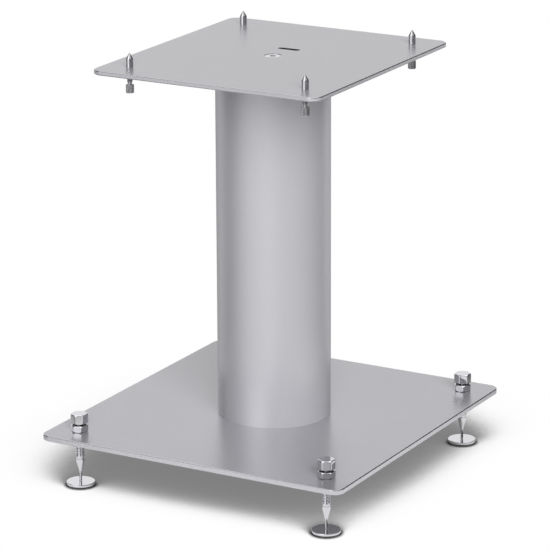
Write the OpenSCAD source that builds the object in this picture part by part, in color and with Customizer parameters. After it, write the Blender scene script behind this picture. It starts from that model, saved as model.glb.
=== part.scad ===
// Low speaker stand, standing on the floor at z = 0, with its front at -Y.
// A steel base plate on four adjustable floor spikes carries a round column.
// A smaller top plate on the column holds the speaker on four spike tips.

/* [Base plate] */
// Width of the base plate, left to right
base_w = 300; // [240:5:400]
// Depth of the base plate, front to back
base_d = 315; // [250:5:420]
// Thickness of the base plate
base_t = 5; // [4:0.5:10]

/* [Top plate] */
// Width of the top plate, left to right
top_w = 222; // [180:2:300]
// Depth of the top plate, front to back
top_d = 247; // [190:1:320]
// Thickness of the top plate
top_t = 4; // [3:0.5:10]

/* [Plate edges] */
// Radius of the plates' corners, seen from above
corner_r = 10; // [5:1:25]
// Width of the broken edge all round both plates
edge_c = 0.8; // [0.4:0.1:1.5]

/* [Column] */
// Outer diameter of the column tube
tube_od = 101.6; // [80:0.1:130]
// Wall of the column tube
tube_wall = 3; // [2:0.5:5]
// Height of the column tube
tube_h = 323; // [200:1:700]
// Thickness of the flanges welded into the tube's ends
flange_t = 10; // [8:1:16]

/* [Cable slot] */
// Length of the cable slot, end to end
slot_l = 21; // [14:1:28]
// Width of the cable slot
slot_w = 6.5; // [5:0.5:12]
// Distance of the slot's middle behind the column's axis
slot_back = 29; // [22:1:32]

/* [Plate screws] */
// Diameter of the screws that hold the plates to the column
screw_d = 8; // [6:1:10]
// Length of those screws, head included
screw_l = 16; // [13:1:24]
// Diameter of their countersunk heads
screw_head_d = 15; // [13:0.5:18]
// Width of the hexagon socket in the heads, across its flats
socket_af = 5; // [4:0.5:6]
// Depth of the hexagon socket
socket_depth = 2.6; // [1.5:0.1:3]

/* [Floor spikes] */
// Distance of each floor spike from the two nearest plate edges
foot_inset = 26; // [20:1:45]
// Height of the base plate's underside above the floor discs
spike_reach = 42; // [34:1:60]
// Thread diameter of the floor spikes
rod_d = 8; // [7:1:10]
// Thread pitch of the floor spikes
rod_pitch = 1.25; // [1:0.25:1.5]
// Length of thread that shows below the base plate
rod_thread_below = 16; // [14:1:20]
// Diameter of the smooth shank under the thread
shank_d = 7.6; // [5:0.1:7.8]
// Height over the disc at which the shank's cone begins
cone_top = 19; // [15:0.5:22]
// Height over the disc at which the needle begins
needle_top = 8.5; // [5:0.5:12]
// Diameter of the needle where it meets the cone
needle_d = 2.4; // [1.6:0.1:3.5]
// Diameter of the blunt point
point_d = 0.8; // [0.4:0.1:1.4]

/* [Nuts and caps] */
// Width of the lock nuts and spike caps, across their flats
hex_af = 14; // [13:0.5:18]
// Height of a lock nut
nut_h = 6.3; // [4:0.1:8]
// Height of a spike cap
cap_h = 9.8; // [8:0.1:14]
// Depth to which the rod is screwed into its cap
cap_bore_depth = 6.5; // [5:0.5:7.5]
// Height of the bevel on the corners of the nuts and caps
hex_bevel = 0.9; // [0.4:0.1:1.4]

/* [Floor discs] */
// Diameter of a floor disc
disc_d = 25.5; // [20:0.5:40]
// Thickness of a floor disc
disc_t = 3; // [2:0.1:5]
// Bevel round the top edge of a floor disc
disc_bevel = 0.6; // [0.2:0.1:1]
// Depth of the hollow that takes the spike's point
dimple_depth = 0.9; // [0.5:0.1:1.5]
// Thickness of the felt pad under a disc
pad_t = 0.8; // [0.5:0.1:2]
// Distance by which the pad stays inside the disc's rim
pad_inset = 1.2; // [0.5:0.1:3]

/* [Top spikes] */
// Distance of each top spike from the plate's side edge
stud_inset_x = 25; // [15:1:45]
// Distance of each top spike from the plate's front or back edge
stud_inset_y = 25; // [15:0.5:45]
// Diameter of a spike tip
tip_d = 6.4; // [5.6:0.1:8]
// Height of a tip's straight part
tip_body_h = 7.7; // [6:0.1:12]
// Height of a tip's cone
tip_cone_h = 4.9; // [3:0.1:8]
// Diameter of a tip's blunt point
tip_point_d = 0.6; // [0.3:0.1:1.2]
// Thread diameter of the thumb screws
stud_d = 5; // [4:0.5:5]
// Thread pitch of the thumb screws
stud_pitch = 0.8; // [0.7:0.1:1]
// Length of thread that shows below the top plate
stud_thread_below = 9.2; // [8:0.1:14]
// Diameter of the plain end on which the tip turns
spigot_d = 3.2; // [2.4:0.1:3.4]
// Length of that plain end
spigot_l = 5.8; // [4:0.1:7]
// Length of the narrow neck above the grip
neck_l = 1.7; // [1:0.1:3]
// Diameter of the narrow neck
neck_d = 3.8; // [3:0.1:4]
// Diameter of the knurled grip
grip_d = 7.2; // [6.5:0.1:12]
// Height of the knurled grip
grip_h = 7.6; // [5:0.1:10]
// Bevel at both ends of the grip
grip_bevel = 0.8; // [0.3:0.1:1.2]

/* [Clearances] */
// Clearance round a thread in its hole, on the radius
thread_gap = 0.05; // [0.03:0.01:0.08]
// Clearance between pieces that are bolted or welded together
fit_gap = 0.05; // [0.03:0.01:0.08]
// Height left free between a lock nut and its cap
cap_gap = 0.4; // [0.3:0.1:1]
// Height left free under a spike's point and on a shoulder
seat_gap = 0.1; // [0.05:0.05:0.2]

/* [Hidden] */
// Each corner's name, its side in X and in Y, and how far its lock nut is turned
CORNERS = [
    ["front_left", -1, -1, 15],
    ["front_right", 1, -1, 30],
    ["back_left", -1, 1, 12],
    ["back_right", 1, 1, 2],
];
FOOT_PIECES = ["floor_disc", "disc_pad", "floor_spike", "spike_cap", "lock_nut"];
STUD_PIECES = ["spike_tip", "thumb_screw"];

$fn = 64;
// One overrun for every cut
over = 1;
// Turn that sets a hexagon's flats to the left and right
flats_to_sides = 30;

// Heights, from the floor up
disc_top = pad_t + disc_t;
base_low = disc_top + spike_reach;
base_top = base_low + base_t;
tube_top = base_top + tube_h;
plate_top = tube_top + top_t;
cap_low = base_top + nut_h + cap_gap;

foot_x = base_w / 2 - foot_inset;
foot_y = base_d / 2 - foot_inset;
stud_x = top_w / 2 - stud_inset_x;
stud_y = top_d / 2 - stud_inset_y;
flange_r = tube_od / 2 - tube_wall - fit_gap;

// Depth of a thread's grooves, as a share of its pitch
groove_share = 0.45;
// Widest clearance cut round a screw's head, and how deep the head is sunk
head_rim = 0.3;
head_sink = 0.4;
// Grooves round the knurled grip, and their depth
grip_grooves = 24;
grip_groove_depth = 0.3;
// Bevels on the smallest turned edges
tiny_bevel = 0.4;
// Hollow in the disc under the spike's point, at its mouth
dimple_r = point_d / 2 + dimple_depth + seat_gap;
// Length of the relief groove where the rod's thread runs out, and its radius
relief_l = 1.5;
relief_r = shank_d / 2 - tiny_bevel;

module at_foot(c) translate([c[1] * foot_x, c[2] * foot_y, 0]) children();
module at_stud(c) translate([c[1] * stud_x, c[2] * stud_y, 0]) children();

// Section of a plate with broken edges
function plate_section(half, t) = [
    [-half, edge_c], [-half + edge_c, 0], [half - edge_c, 0], [half, edge_c],
    [half, t - edge_c], [half - edge_c, t], [-half + edge_c, t], [-half, t - edge_c]
];

// Plate with round corners and broken edges, its underside at z = 0
module rounded_plate(w, d, t) {
    rotate([90, 0, 90]) linear_extrude(w - 2 * corner_r, center = true)
        polygon(plate_section(d / 2, t));
    rotate([90, 0, 0]) linear_extrude(d - 2 * corner_r, center = true)
        polygon(plate_section(w / 2, t));
    for (sx = [-1, 1], sy = [-1, 1])
        translate([sx * (w / 2 - corner_r), sy * (d / 2 - corner_r), 0])
            rotate_extrude() polygon([
                [0, 0], [corner_r - edge_c, 0], [corner_r, edge_c],
                [corner_r, t - edge_c], [corner_r - edge_c, t], [0, t]
            ]);
}

// Slot with round ends behind the axis, cut from low to high
module cable_slot(low, high) {
    straight = slot_l - slot_w;
    translate([0, slot_back, low - over]) linear_extrude(high - low + 2 * over) {
        square([straight, slot_w], center = true);
        for (s = [-1, 1]) translate([s * straight / 2, 0]) circle(d = slot_w);
    }
}

// Countersunk screw pointing up, the plate's face at z = 0, with a gap all round
module screw_form(gap, tail) {
    head_r = screw_head_d / 2;
    cone_h = head_r - screw_d / 2;
    rotate_extrude() polygon([
        [0, head_sink - (gap > 0 ? over : 0)], [head_r + gap, head_sink - (gap > 0 ? over : 0)],
        [head_r + gap, head_sink + head_rim], [screw_d / 2 + gap, head_sink + head_rim + cone_h],
        [screw_d / 2 + gap, tail - (gap > 0 ? 0 : tiny_bevel)],
        [screw_d / 2 - (gap > 0 ? 0 : tiny_bevel), tail], [0, tail]
    ]);
}

module plate_screw() {
    difference() {
        screw_form(0, screw_l);
        translate([0, 0, head_sink - over])
            cylinder(d = socket_af / cos(30), h = socket_depth + over, $fn = 6);
    }
}

module flange() {
    difference() {
        cylinder(r = flange_r, h = flange_t);
        cable_slot(0, flange_t);
    }
}

// Points down the side of a threaded rod, from z0 up to z1
function thread_side(r, pitch, z0, z1) = let (
    depth = pitch * groove_share,
    turns = floor((z1 - z0 - tiny_bevel) / pitch)
) concat(
    [[r - depth, z0], [r, z0 + depth]],
    [for (i = [1 : turns - 1]) each [[r - depth, z0 + i * pitch], [r, z0 + i * pitch + depth]]],
    [[r, z1 - tiny_bevel], [r - tiny_bevel, z1]]
);

// Hexagon with beveled corners at both ends
module hex_block(h, turn) {
    corner = hex_af / cos(30) / 2;
    flat = hex_af / 2;
    rotate([0, 0, turn]) intersection() {
        cylinder(r = corner, h = h, $fn = 6);
        rotate_extrude() polygon([
            [0, 0], [flat, 0], [corner + tiny_bevel, hex_bevel + tiny_bevel],
            [corner + tiny_bevel, h - hex_bevel - tiny_bevel], [flat, h], [0, h]
        ]);
    }
}

module base_plate() color("#B7B6BC") difference() {
    translate([0, 0, base_low]) rounded_plate(base_w, base_d, base_t);
    for (c = CORNERS) at_foot(c) translate([0, 0, base_low - over])
        cylinder(r = rod_d / 2 + thread_gap, h = base_t + 2 * over);
    cable_slot(base_low, base_top);
    translate([0, 0, base_low]) screw_form(fit_gap, base_t + over);
}

module column_tube() color("#C0BFC6") translate([0, 0, base_top]) difference() {
    cylinder(d = tube_od, h = tube_h, $fn = 128);
    translate([0, 0, -over]) cylinder(d = tube_od - 2 * tube_wall, h = tube_h + 2 * over, $fn = 128);
}

module base_flange() color("#8C8C92") difference() {
    translate([0, 0, base_top]) flange();
    translate([0, 0, base_low]) screw_form(fit_gap, base_t + flange_t + over);
}

module top_flange() color("#8C8C92") difference() {
    translate([0, 0, tube_top - flange_t]) flange();
    translate([0, 0, plate_top]) mirror([0, 0, 1]) screw_form(fit_gap, top_t + flange_t + over);
}

module top_plate() color("#C3C2C7") difference() {
    translate([0, 0, tube_top]) rounded_plate(top_w, top_d, top_t);
    for (c = CORNERS) at_stud(c) translate([0, 0, tube_top - over])
        cylinder(r = stud_d / 2 + thread_gap, h = top_t + 2 * over);
    cable_slot(tube_top, plate_top);
    translate([0, 0, plate_top]) mirror([0, 0, 1]) screw_form(fit_gap, top_t + over);
}

module base_plate_screw() color("#9A9AA0") translate([0, 0, base_low]) plate_screw();

module top_plate_screw() color("#D4D4D8") translate([0, 0, plate_top]) mirror([0, 0, 1]) plate_screw();

module disc_pad(c) color("#2B2B2E") at_foot(c) cylinder(d = disc_d - 2 * pad_inset, h = pad_t);

module floor_disc(c) color("#D8D8DC") at_foot(c) translate([0, 0, pad_t]) rotate_extrude() polygon([
    [0, 0], [disc_d / 2 - tiny_bevel, 0], [disc_d / 2, tiny_bevel], [disc_d / 2, disc_t - disc_bevel],
    [disc_d / 2 - disc_bevel, disc_t], [dimple_r, disc_t],
    [dimple_r - dimple_depth, disc_t - dimple_depth], [0, disc_t - dimple_depth]
]);

// The spike's point stands in its disc's hollow, and its rod ends inside the cap
module floor_spike(c) color("#D8D8DC") at_foot(c) {
    thread_low = base_low - rod_thread_below;
    rotate_extrude() polygon(concat(
        [[0, disc_top - dimple_depth + seat_gap], [point_d / 2, disc_top - dimple_depth + seat_gap],
         [needle_d / 2, disc_top + needle_top], [shank_d / 2, disc_top + cone_top],
         [shank_d / 2, thread_low - relief_l - tiny_bevel], [relief_r, thread_low - relief_l],
         [relief_r, thread_low]],
        thread_side(rod_d / 2, rod_pitch, thread_low, cap_low + cap_bore_depth - seat_gap),
        [[0, cap_low + cap_bore_depth - seat_gap]]
    ));
}

module spike_cap(c) color("#DCDCE0") at_foot(c) translate([0, 0, cap_low]) difference() {
    hex_block(cap_h, flats_to_sides);
    translate([0, 0, -over]) cylinder(r = rod_d / 2 + thread_gap, h = cap_bore_depth + over);
}

module lock_nut(c) color("#D0D0D4") at_foot(c) translate([0, 0, base_top]) difference() {
    hex_block(nut_h, c[3]);
    translate([0, 0, -over]) cylinder(r = rod_d / 2 + thread_gap, h = nut_h + 2 * over);
}

// The tip sits loose on the thumb screw's plain end, so it rises without turning
module spike_tip(c) color("#DCDCE0") at_stud(c) translate([0, 0, plate_top]) rotate_extrude() polygon([
    [spigot_d / 2 + thread_gap, 0], [tip_d / 2, 0], [tip_d / 2, tip_body_h],
    [tip_point_d / 2, tip_body_h + tip_cone_h], [0, tip_body_h + tip_cone_h],
    [0, spigot_l + seat_gap], [spigot_d / 2 + thread_gap, spigot_l + seat_gap]
]);

// Outline of the knurled grip, seen from above
function grip_outline() = [for (i = [0 : 2 * grip_grooves - 1])
    let (r = grip_d / 2 - (i % 2) * grip_groove_depth, a = 180 * i / grip_grooves)
    [r * cos(a), r * sin(a)]];

module thumb_screw(c) color("#B4B4B8") at_stud(c) {
    thread_low = tube_top - stud_thread_below;
    grip_top = thread_low - neck_l;
    thread_high = plate_top - seat_gap;
    rotate_extrude() polygon(concat(
        [[0, grip_top - tiny_bevel], [neck_d / 2, grip_top - tiny_bevel], [neck_d / 2, thread_low]],
        thread_side(stud_d / 2, stud_pitch, thread_low, thread_high),
        [[spigot_d / 2, thread_high], [spigot_d / 2, plate_top + spigot_l - tiny_bevel],
         [spigot_d / 2 - tiny_bevel, plate_top + spigot_l], [0, plate_top + spigot_l]]
    ));
    translate([0, 0, grip_top - grip_h]) intersection() {
        linear_extrude(grip_h) polygon(grip_outline());
        rotate_extrude() polygon([
            [0, 0], [grip_d / 2 - grip_bevel, 0], [grip_d / 2, grip_bevel],
            [grip_d / 2, grip_h - grip_bevel], [grip_d / 2 - grip_bevel, grip_h], [0, grip_h]
        ]);
    }
}

base_plate();
column_tube();
base_flange();
top_flange();
top_plate();
base_plate_screw();
top_plate_screw();
for (c = CORNERS) {
    floor_disc(c);
    disc_pad(c);
    floor_spike(c);
    spike_cap(c);
    lock_nut(c);
    spike_tip(c);
    thumb_screw(c);
}
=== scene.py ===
"""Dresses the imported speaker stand: satin silver plates and column, chromed feet and tips, in a white studio.

Lengths are in metres, in the stand's own frame: the floor is z = 0 and the front is at -Y. Outlines of turned
pieces are lists of (radius, height) from their lower end, with heights over the floor.
"""

import math
from contextlib import contextmanager

import bmesh
import bpy
from bpy.props import FloatProperty, FloatVectorProperty, IntProperty, PointerProperty
from mathutils import Matrix, Vector


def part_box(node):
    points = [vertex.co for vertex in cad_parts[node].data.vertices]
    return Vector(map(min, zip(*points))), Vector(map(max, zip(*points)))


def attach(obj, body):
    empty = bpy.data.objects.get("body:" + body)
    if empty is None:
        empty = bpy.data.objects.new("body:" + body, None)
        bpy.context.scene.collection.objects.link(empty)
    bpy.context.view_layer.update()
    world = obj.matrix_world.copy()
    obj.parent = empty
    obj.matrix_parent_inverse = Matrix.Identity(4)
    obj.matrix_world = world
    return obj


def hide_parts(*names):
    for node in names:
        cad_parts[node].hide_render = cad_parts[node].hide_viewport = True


bl_info = {
    "name": "Speaker stand",
    "version": (1, 0, 0),
    "blender": (4, 5, 0),
    "location": "View3D > Sidebar > Speaker stand",
    "description": "Models and finishes the pieces of a low speaker stand around its packed frame",
    "category": "Add Mesh",
}

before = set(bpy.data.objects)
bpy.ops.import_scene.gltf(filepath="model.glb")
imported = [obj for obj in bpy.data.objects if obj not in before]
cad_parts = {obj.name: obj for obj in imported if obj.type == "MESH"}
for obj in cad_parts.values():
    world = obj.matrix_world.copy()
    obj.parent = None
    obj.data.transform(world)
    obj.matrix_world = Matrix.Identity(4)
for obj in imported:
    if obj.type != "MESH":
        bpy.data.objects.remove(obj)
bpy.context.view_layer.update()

MM = 0.001
# The stand's corners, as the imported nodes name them
CORNERS = ("front_left", "front_right", "back_left", "back_right")
# How far each corner's lock nut is turned from having two flats to the left and right
NUT_TURNS = {"front_left": -15, "front_right": 0, "back_left": -18, "back_right": -28}
# How far a cutter stands out of what it cuts
OVERRUN = 1 * MM
# Lengths that differ by less than this are taken as equal
TOLERANCE = 0.001 * MM
# A face whose normal is lower than this looks down, and can take a dark finish that paints the shade under it
LOOKS_DOWN = -0.25
# Corners below this angle are shaded as one smooth surface
SMOOTH_ANGLE = math.radians(32)
# Depth of a metric thread, and the width of its flat crests and roots, as shares of its pitch
THREAD_DEPTH = 0.54
THREAD_FLAT = 0.12
# The points over which a spike's cone rounds into its shank. The first number is how far a point lies inside
# the shank, as a share of what the cone narrows over the rounding. The second is its height over the cone's
# top, as a share of the rounding's length.
SHOULDER = ((1, -1), (0.3, -0.2), (0, 0.4))
# The knurled grip has this many facets round it for each diamond, and rings of this height
KNURL_FACETS = 6
KNURL_RING = 0.16 * MM


# Colour and lookup helpers

def srgb(text):
    """Turns an sRGB hex colour into the linear values that Blender works in."""
    channels = [int(text[i:i + 2], 16) / 255 for i in (1, 3, 5)]
    return tuple(c / 12.92 if c <= 0.04045 else ((c + 0.055) / 1.055) ** 2.4 for c in channels)


def per_metre(size_mm):
    """How many cells of a pattern of that size fit in a metre, which is what a texture's scale asks for."""
    return 1000 / size_mm


def middle(node):
    """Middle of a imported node's box."""
    low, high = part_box(node)
    return (low + high) / 2


# The sizes and colours that a user would change

class PlateSizes(bpy.types.PropertyGroup):
    """Details of the plates, the column and the screws between them."""

    corner_radius: FloatProperty(
        name="Corner radius", description="Radius of the plates' corners, seen from above",
        default=10 * MM, min=5 * MM, max=25 * MM, unit="LENGTH")
    edge_radius: FloatProperty(
        name="Edge radius", description="Rounding along the plates' upper and lower edges",
        default=0.9 * MM, min=0.3 * MM, max=1.5 * MM, unit="LENGTH")
    tube_wall: FloatProperty(
        name="Tube wall", description="Thickness of the column tube's wall",
        default=3 * MM, min=2 * MM, max=5 * MM, unit="LENGTH")
    tube_edge: FloatProperty(
        name="Tube edge", description="Rounding of the column tube's edges",
        default=0.25 * MM, min=0.1 * MM, max=0.5 * MM, unit="LENGTH")
    slot_length: FloatProperty(
        name="Slot length", description="Length of the cable slots, end to end",
        default=21 * MM, min=14 * MM, max=28 * MM, unit="LENGTH")
    slot_width: FloatProperty(
        name="Slot width", description="Width of the cable slots",
        default=6.5 * MM, min=5 * MM, max=12 * MM, unit="LENGTH")
    slot_back: FloatProperty(
        name="Slot distance", description="Distance of the slots' middle behind the column's axis",
        default=29 * MM, min=22 * MM, max=32 * MM, unit="LENGTH")
    screw_thread: FloatProperty(
        name="Screw thread", description="Thread diameter of the countersunk screws",
        default=8 * MM, min=6 * MM, max=10 * MM, unit="LENGTH")
    screw_pitch: FloatProperty(
        name="Screw pitch", description="Thread pitch of the countersunk screws",
        default=1.25 * MM, min=1 * MM, max=1.5 * MM, unit="LENGTH")
    head_rim: FloatProperty(
        name="Head rim", description="Height of the straight rim round a countersunk head",
        default=0.3 * MM, min=0.1 * MM, max=0.6 * MM, unit="LENGTH")
    screw_end: FloatProperty(
        name="Screw end", description="Bevel at the end of a countersunk screw's thread",
        default=0.5 * MM, min=0.2 * MM, max=1 * MM, unit="LENGTH")
    slot_edge: FloatProperty(
        name="Slot edge", description="Rounding of a cable slot's edges",
        default=0.35 * MM, min=0.1 * MM, max=0.8 * MM, unit="LENGTH")
    socket_width: FloatProperty(
        name="Socket width", description="Width of the hexagon socket across its flats",
        default=5 * MM, min=4 * MM, max=6 * MM, unit="LENGTH")
    socket_depth: FloatProperty(
        name="Socket depth", description="Depth of the hexagon socket",
        default=2.6 * MM, min=1.5 * MM, max=3 * MM, unit="LENGTH")
    socket_edge: FloatProperty(
        name="Socket edge", description="Rounding of the head's edges and of the socket's mouth",
        default=0.12 * MM, min=0.05 * MM, max=0.3 * MM, unit="LENGTH")
    hole_gap: FloatProperty(
        name="Hole clearance", description="Clearance round a thread or a screw's head in its hole",
        default=0.05 * MM, min=0.02 * MM, max=0.1 * MM, unit="LENGTH")


class FootSizes(bpy.types.PropertyGroup):
    """Details of the floor spikes, their caps, nuts and discs."""

    rod: FloatProperty(
        name="Rod", description="Thread diameter of the floor spikes",
        default=8 * MM, min=7 * MM, max=10 * MM, unit="LENGTH")
    pitch: FloatProperty(
        name="Rod pitch", description="Thread pitch of the floor spikes",
        default=1.25 * MM, min=1 * MM, max=1.5 * MM, unit="LENGTH")
    thread_below: FloatProperty(
        name="Thread below", description="Length of thread that shows below the base plate",
        default=19 * MM, min=14 * MM, max=20 * MM, unit="LENGTH")
    shank: FloatProperty(
        name="Shank", description="Diameter of the smooth shank under the thread",
        default=7.6 * MM, min=5 * MM, max=7.8 * MM, unit="LENGTH")
    cone_top: FloatProperty(
        name="Cone top", description="Height over the disc at which the shank's cone begins",
        default=18 * MM, min=15 * MM, max=22 * MM, unit="LENGTH")
    cone_round: FloatProperty(
        name="Cone rounding", description="Length over which the cone rounds into the shank",
        default=2.5 * MM, min=1 * MM, max=4 * MM, unit="LENGTH")
    needle_top: FloatProperty(
        name="Needle top", description="Height over the disc at which the needle begins",
        default=8.5 * MM, min=5 * MM, max=12 * MM, unit="LENGTH")
    needle: FloatProperty(
        name="Needle", description="Diameter of the needle where it meets the cone",
        default=2.4 * MM, min=1.6 * MM, max=3.5 * MM, unit="LENGTH")
    point: FloatProperty(
        name="Point", description="Diameter of the blunt point",
        default=0.8 * MM, min=0.4 * MM, max=1.4 * MM, unit="LENGTH")
    point_top: FloatProperty(
        name="Point top", description="Height over the disc at which the needle narrows to its point",
        default=1.2 * MM, min=0.5 * MM, max=3 * MM, unit="LENGTH")
    rod_bevel: FloatProperty(
        name="Rod bevel", description="Bevel at the rod's upper end and at the shank's",
        default=0.4 * MM, min=0.2 * MM, max=0.8 * MM, unit="LENGTH")
    relief: FloatProperty(
        name="Relief", description="Length of the relief groove where the thread runs out",
        default=1.5 * MM, min=1 * MM, max=3 * MM, unit="LENGTH")
    relief_depth: FloatProperty(
        name="Relief depth", description="Depth of the relief groove below the shank's surface",
        default=0.4 * MM, min=0.2 * MM, max=0.8 * MM, unit="LENGTH")
    hex_corner: FloatProperty(
        name="Hexagon corners", description="Rounding of the upright corners of nuts and caps",
        default=2 * MM, min=0.5 * MM, max=3 * MM, unit="LENGTH")
    hex_bevel: FloatProperty(
        name="Hexagon bevel", description="Height of the turned bevel on the corners of nuts and caps",
        default=1.1 * MM, min=0.6 * MM, max=1.4 * MM, unit="LENGTH")
    cap_edge: FloatProperty(
        name="Cap edge", description="Rounding of a cap's edges, worn by the polishing mop",
        default=0.5 * MM, min=0.2 * MM, max=0.8 * MM, unit="LENGTH")
    nut_edge: FloatProperty(
        name="Nut edge", description="Rounding of a lock nut's edges",
        default=0.25 * MM, min=0.1 * MM, max=0.5 * MM, unit="LENGTH")
    cap_gap: FloatProperty(
        name="Cap gap", description="Dark gap that a cap leaves over its nut",
        default=0.5 * MM, min=0.1 * MM, max=1 * MM, unit="LENGTH")
    cap_bore: FloatProperty(
        name="Cap bore", description="Depth to which the rod goes into its cap",
        default=6.5 * MM, min=5 * MM, max=7.5 * MM, unit="LENGTH")
    disc_bevel: FloatProperty(
        name="Disc edge", description="Rounding of a floor disc's upper edge",
        default=0.6 * MM, min=0.2 * MM, max=1 * MM, unit="LENGTH")
    disc_foot: FloatProperty(
        name="Disc foot", description="Bevel of a floor disc's lower edge",
        default=1 * MM, min=0.2 * MM, max=1.5 * MM, unit="LENGTH")
    dimple: FloatProperty(
        name="Hollow", description="Depth of the hollow that takes the spike's point",
        default=0.9 * MM, min=0.5 * MM, max=1.5 * MM, unit="LENGTH")
    dimple_lip: FloatProperty(
        name="Hollow lip", description="Depth of the bevel round the hollow's mouth",
        default=0.1 * MM, min=0.05 * MM, max=0.3 * MM, unit="LENGTH")


class TipSizes(bpy.types.PropertyGroup):
    """Details of the spike tips on the top plate and of the thumb screws under them."""

    cone: FloatProperty(
        name="Cone", description="Height of a tip's cone",
        default=4.9 * MM, min=3 * MM, max=8 * MM, unit="LENGTH")
    point: FloatProperty(
        name="Point", description="Diameter of a tip's blunt point",
        default=0.6 * MM, min=0.3 * MM, max=1.2 * MM, unit="LENGTH")
    foot_bevel: FloatProperty(
        name="Foot bevel", description="Bevel of a tip's lower edge",
        default=0.2 * MM, min=0.1 * MM, max=0.5 * MM, unit="LENGTH")
    shoulder: FloatProperty(
        name="Shoulder", description="Rounding between a tip's cone and its straight part",
        default=0.3 * MM, min=0.1 * MM, max=0.6 * MM, unit="LENGTH")
    bore_room: FloatProperty(
        name="Bore room", description="Room over the thumb screw's plain end inside its tip",
        default=0.1 * MM, min=0.05 * MM, max=0.3 * MM, unit="LENGTH")
    thread: FloatProperty(
        name="Thread", description="Thread diameter of the thumb screws",
        default=5 * MM, min=4 * MM, max=5 * MM, unit="LENGTH")
    pitch: FloatProperty(
        name="Thread pitch", description="Thread pitch of the thumb screws",
        default=0.8 * MM, min=0.7 * MM, max=1 * MM, unit="LENGTH")
    thread_below: FloatProperty(
        name="Thread below", description="Length of thread that shows below the top plate",
        default=9.2 * MM, min=8 * MM, max=14 * MM, unit="LENGTH")
    thread_sunk: FloatProperty(
        name="Thread end", description="Depth of the thread's upper end below the top plate's face",
        default=0.1 * MM, min=0.05 * MM, max=1 * MM, unit="LENGTH")
    spigot: FloatProperty(
        name="Plain end", description="Diameter of the plain end on which the tip turns",
        default=3.2 * MM, min=2.4 * MM, max=3.4 * MM, unit="LENGTH")
    spigot_bevel: FloatProperty(
        name="Plain end bevel", description="Bevel at the top of the plain end",
        default=0.4 * MM, min=0.2 * MM, max=0.8 * MM, unit="LENGTH")
    neck: FloatProperty(
        name="Neck", description="Diameter of the narrow neck above the grip",
        default=3.8 * MM, min=3 * MM, max=4 * MM, unit="LENGTH")
    neck_length: FloatProperty(
        name="Neck length", description="Length of the narrow neck above the grip",
        default=1.7 * MM, min=1 * MM, max=3 * MM, unit="LENGTH")
    grip_bevel: FloatProperty(
        name="Grip bevel", description="Bevel at both ends of the grip",
        default=0.8 * MM, min=0.3 * MM, max=1.2 * MM, unit="LENGTH")
    knurls: IntProperty(
        name="Knurls", description="Diamonds of the knurling round the grip",
        default=20, min=12, max=30)
    knurl_depth: FloatProperty(
        name="Knurl depth", description="Depth of the knurling",
        default=0.3 * MM, min=0.1 * MM, max=0.5 * MM, unit="LENGTH")


class Finishes(bpy.types.PropertyGroup):
    """Colours of the stand's finishes."""

    lacquer: FloatVectorProperty(
        name="Silver lacquer", description="Colour of the plates and the column",
        default=srgb("#C4C3C8"), min=0, max=1, size=3, subtype="COLOR")
    chrome: FloatVectorProperty(
        name="Chrome", description="Colour of the feet, nuts, caps and tips",
        default=srgb("#EBEBEF"), min=0, max=1, size=3, subtype="COLOR")
    nickel: FloatVectorProperty(
        name="Nickel", description="Colour of the thumb screws",
        default=srgb("#E2E1E4"), min=0, max=1, size=3, subtype="COLOR")
    steel: FloatVectorProperty(
        name="Turned steel", description="Colour of the bare flanges inside the column",
        default=srgb("#8C8C92"), min=0, max=1, size=3, subtype="COLOR")
    # This colour is also the painted shade on the undersides of caps and nuts
    black_oxide: FloatVectorProperty(
        name="Black oxide", description="Colour of the screw under the base plate",
        default=srgb("#2C2C30"), min=0, max=1, size=3, subtype="COLOR")
    felt: FloatVectorProperty(
        name="Felt", description="Colour of the pads under the floor discs",
        default=srgb("#2B2B2E"), min=0, max=1, size=3, subtype="COLOR")


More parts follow.
